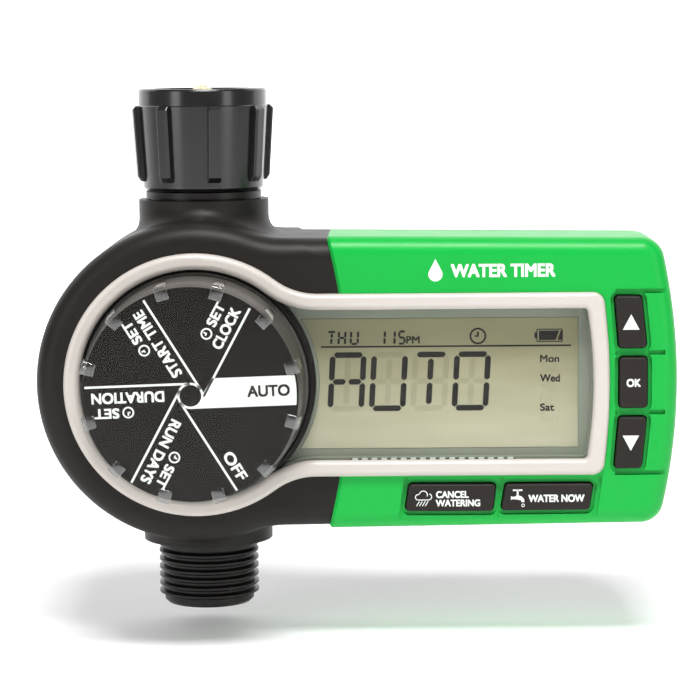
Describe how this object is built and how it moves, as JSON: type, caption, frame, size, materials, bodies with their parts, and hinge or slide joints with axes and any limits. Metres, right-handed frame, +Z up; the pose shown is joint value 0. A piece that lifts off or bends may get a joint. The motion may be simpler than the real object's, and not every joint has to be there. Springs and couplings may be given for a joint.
{
  "type": "irrigation controller",
  "caption": "Hose-end water timer: swivel tap nut, round dial drum with hose outlet below, and a rectangular display end with push buttons.",
  "frame": {"origin": "centre of the swivel nut's mouth, on the axis of the water pipe", "axes": "+Z up the pipe out of the nut's mouth towards the tap, +X along the display end, -Y out of the dial face towards the user"},
  "size_m": [0.1676, 0.0694, 0.14],
  "materials": {
    "black_housing": "satin moulded black",
    "green_plastic": "satin moulded green",
    "grey_trim": "light grey, semi-gloss",
    "clear_plastic": "clear moulded acrylic",
    "lcd": "olive reflective display",
    "frame_plastic": "pale moulded frame",
    "contact_metal": "bright plated",
    "board": "solder-masked laminate",
    "chips": "moulded packages",
    "screw_steel": "plated steel",
    "key_mat": "soft silicone",
    "switch_plastic": "moulded",
    "button_plastic": "fine-textured dark grey",
    "dial_print": "dark printed disc with white markings",
    "carrier_plastic": "grey moulded",
    "nut_plastic": "glossy black",
    "valve_plastic": "black glass-filled moulding",
    "washer_rubber": "soft black rubber",
    "strainer_mesh": "fine bright mesh",
    "coil": "enamelled winding",
    "lead_insulation": "wire insulation",
    "tray_plastic": "moulded black",
    "pin_strip": "pale moulded strip",
    "cells": "plain cell sleeve"
  },
  "bodies": {
    "housing": {"front_housing": "black_housing", "rear_housing": "black_housing", "green_cover": "green_plastic", "bezel": "grey_trim", "display_window": "clear_plastic", "lcd_glass": "lcd", "lcd_holder": "frame_plastic", "lcd_pins": "pin_strip", "circuit_board": "board", "board_components": "chips", "board_screws": "screw_steel", "bonnet_screws": "screw_steel", "case_screws": "screw_steel", "keypad_mats": "key_mat", "rotary_switch": "switch_plastic", "inlet_tailpiece": "valve_plastic", "inlet_washer": "washer_rubber", "inlet_strainer": "strainer_mesh", "valve_body": "valve_plastic", "diaphragm": "washer_rubber", "valve_bonnet": "valve_plastic", "solenoid_coil": "coil", "solenoid_frame": "screw_steel", "plunger_spring": "contact_metal", "solenoid_leads": "lead_insulation", "battery_tray": "tray_plastic", "battery_cells": "cells", "battery_contacts": "contact_metal"},
    "swivel_nut": {"swivel_nut": "nut_plastic"},
    "dial": {"dial_cap": "clear_plastic", "dial_disc": "dial_print", "dial_carrier": "carrier_plastic"},
    "up_button": {"up_button": "button_plastic"},
    "ok_button": {"ok_button": "button_plastic"},
    "down_button": {"down_button": "button_plastic"},
    "cancel_button": {"cancel_button": "button_plastic"},
    "water_now_button": {"water_now_button": "button_plastic"},
    "battery_door": {"battery_door": "black_housing"},
    "plunger": {"solenoid_plunger": "screw_steel"}
  },
  "joints": [
    {"name": "nut_swivel", "type": "hinge", "parent": "housing", "child": "swivel_nut", "pos_m": [0, 0, -0.013], "axis": [0, 0, 1], "continuous": true},
    {"name": "dial_turn", "type": "hinge", "parent": "housing", "child": "dial", "pos_m": [-0.001, -0.035, -0.0764], "axis": [0, -1, 0], "continuous": true},
    {"name": "up_press", "type": "slide", "parent": "housing", "child": "up_button", "axis": [0, 1, 0], "range_m": [0, 0.0009], "stiffness_N_per_m": 1500, "springref_m": -0.0007},
    {"name": "ok_press", "type": "slide", "parent": "housing", "child": "ok_button", "axis": [0, 1, 0], "range_m": [0, 0.0009], "stiffness_N_per_m": 1500, "springref_m": -0.0007},
    {"name": "down_press", "type": "slide", "parent": "housing", "child": "down_button", "axis": [0, 1, 0], "range_m": [0, 0.0009], "stiffness_N_per_m": 1500, "springref_m": -0.0007},
    {"name": "cancel_press", "type": "slide", "parent": "housing", "child": "cancel_button", "axis": [0, 1, 0], "range_m": [0, 0.0009], "stiffness_N_per_m": 1500, "springref_m": -0.0007},
    {"name": "water_now_press", "type": "slide", "parent": "housing", "child": "water_now_button", "axis": [0, 1, 0], "range_m": [0, 0.0009], "stiffness_N_per_m": 1500, "springref_m": -0.0007},
    {"name": "battery_door_slide", "type": "slide", "parent": "housing", "child": "battery_door", "axis": [1, 0, 0], "range_m": [0, 0.073]},
    {"name": "plunger_lift", "type": "slide", "parent": "housing", "child": "plunger", "axis": [1, 0, 0], "range_m": [0, 0.002], "stiffness_N_per_m": 500, "springref_m": -0.002, "deforming": ["plunger_spring"]}
  ]
}
